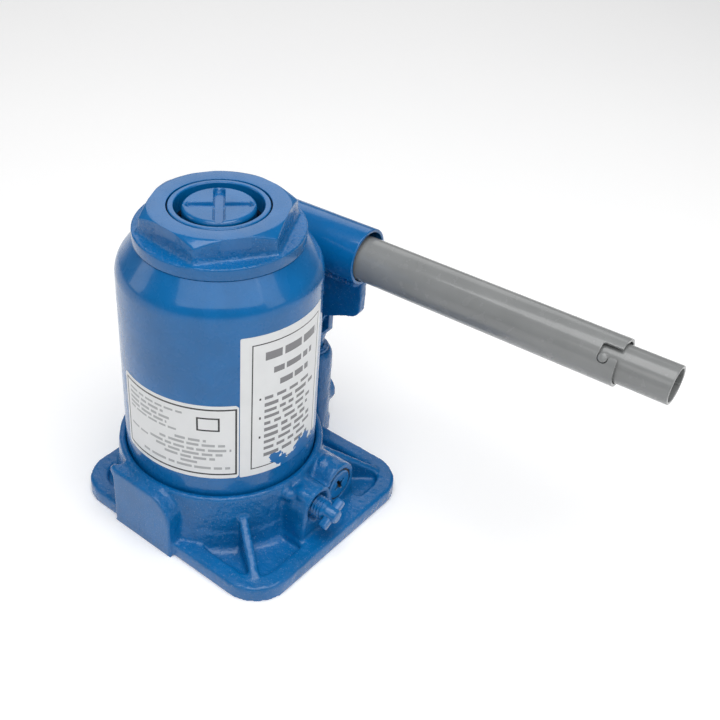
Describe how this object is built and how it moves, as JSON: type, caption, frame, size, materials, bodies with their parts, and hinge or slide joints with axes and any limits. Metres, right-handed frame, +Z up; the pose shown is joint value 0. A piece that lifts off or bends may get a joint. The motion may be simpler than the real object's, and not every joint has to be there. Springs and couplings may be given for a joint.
{
  "type": "bottle jack",
  "caption": "Two-stage hydraulic bottle jack with a ribbed cast base, hexagon top nut, side pump, pivoting handle socket and two-piece tube handle.",
  "frame": {"origin": "on the ram axis at the underside of the base plate", "axes": "+Z up along the rams, +X the way the handle points and the side of the valves, +Y the pump side"},
  "size_m": [0.2569, 0.1513, 0.175],
  "materials": {
    "cast_blue": "gloss paint over rough casting",
    "blue_paint": "gloss paint",
    "grey_paint": "semi-gloss paint",
    "steel": "machined",
    "rubber": "matte",
    "label": "printed sticker"
  },
  "bodies": {
    "jack_body": {"base_casting": "cast_blue", "reservoir_shell": "blue_paint", "reservoir_gasket": "rubber", "ram_cylinder": "steel", "cylinder_gasket": "steel", "tank_nut": "blue_paint", "nut_o_ring": "rubber", "ram_wiper": "rubber", "filler_plug": "rubber", "rating_label": "label", "safety_label": "label", "pump_gland": "blue_paint", "pump_packing": "rubber", "suction_ball": "steel", "passage_plug": "steel", "discharge_ball": "steel", "discharge_spring": "steel", "discharge_plug": "steel", "overload_ball": "steel", "overload_spring": "steel", "overload_adjuster": "steel", "overload_cap": "blue_paint", "overload_cap_seal": "rubber", "release_ball": "steel", "fulcrum_links": "blue_paint", "fulcrum_pin": "steel", "link_pin": "steel", "link_clips": "steel"},
    "outer_ram_group": {"outer_ram": "blue_paint", "outer_ram_seal": "rubber", "outer_seal_screw": "steel", "inner_ram_guide": "steel", "guide_snap_ring": "steel"},
    "inner_ram_group": {"inner_ram": "blue_paint", "inner_ram_seal": "rubber"},
    "socket_arm": {"socket_tube": "blue_paint", "socket_lug": "blue_paint", "socket_welds": "blue_paint", "plunger_pin": "steel", "plunger_pin_clips": "steel", "handle_stop_pin": "steel"},
    "plunger": {"pump_plunger": "blue_paint", "plunger_seal": "rubber"},
    "handle": {"handle_tube": "grey_paint"},
    "extension": {"handle_extension": "grey_paint", "bayonet_pin": "grey_paint"},
    "release_valve": {"release_screw": "blue_paint", "release_o_ring": "rubber"}
  },
  "joints": [
    {"name": "outer_ram_slide", "type": "slide", "parent": "jack_body", "child": "outer_ram_group", "axis": [0, 0, 1], "range_m": [0, 0.105]},
    {"name": "inner_ram_slide", "type": "slide", "parent": "outer_ram_group", "child": "inner_ram_group", "axis": [0, 0, 1], "range_m": [0, 0.105]},
    {"name": "handle_pump", "type": "hinge", "parent": "jack_body", "child": "socket_arm", "pos_m": [-0.01672, 0.0681, 0.09021], "axis": [0.0515, -0.9987, 0], "range_deg": [0, 40]},
    {"name": "plunger_slide", "type": "slide", "parent": "jack_body", "child": "plunger", "axis": [0, 0, 1], "range_m": [0, 0.0165]},
    {"name": "handle_pull", "type": "slide", "parent": "socket_arm", "child": "handle", "axis": [0.9986, 0.0515, -0.0092], "range_m": [0, 0.06]},
    {"name": "bayonet_twist", "type": "hinge", "parent": "handle", "child": "extension", "pos_m": [0.10637, 0.07445, 0.12728], "axis": [-0.9986, -0.0515, 0.0092], "range_deg": [0, 20.9]},
    {"name": "release_turn", "type": "hinge", "parent": "jack_body", "child": "release_valve", "pos_m": [0.07, -0.0005, 0.025], "axis": [1, 0, 0], "range_deg": [0, 360]}
  ],
  "couplings": [
    {"joint": "plunger_slide", "follows": "handle_pump", "m_per_rad": 0.02352}
  ]
}
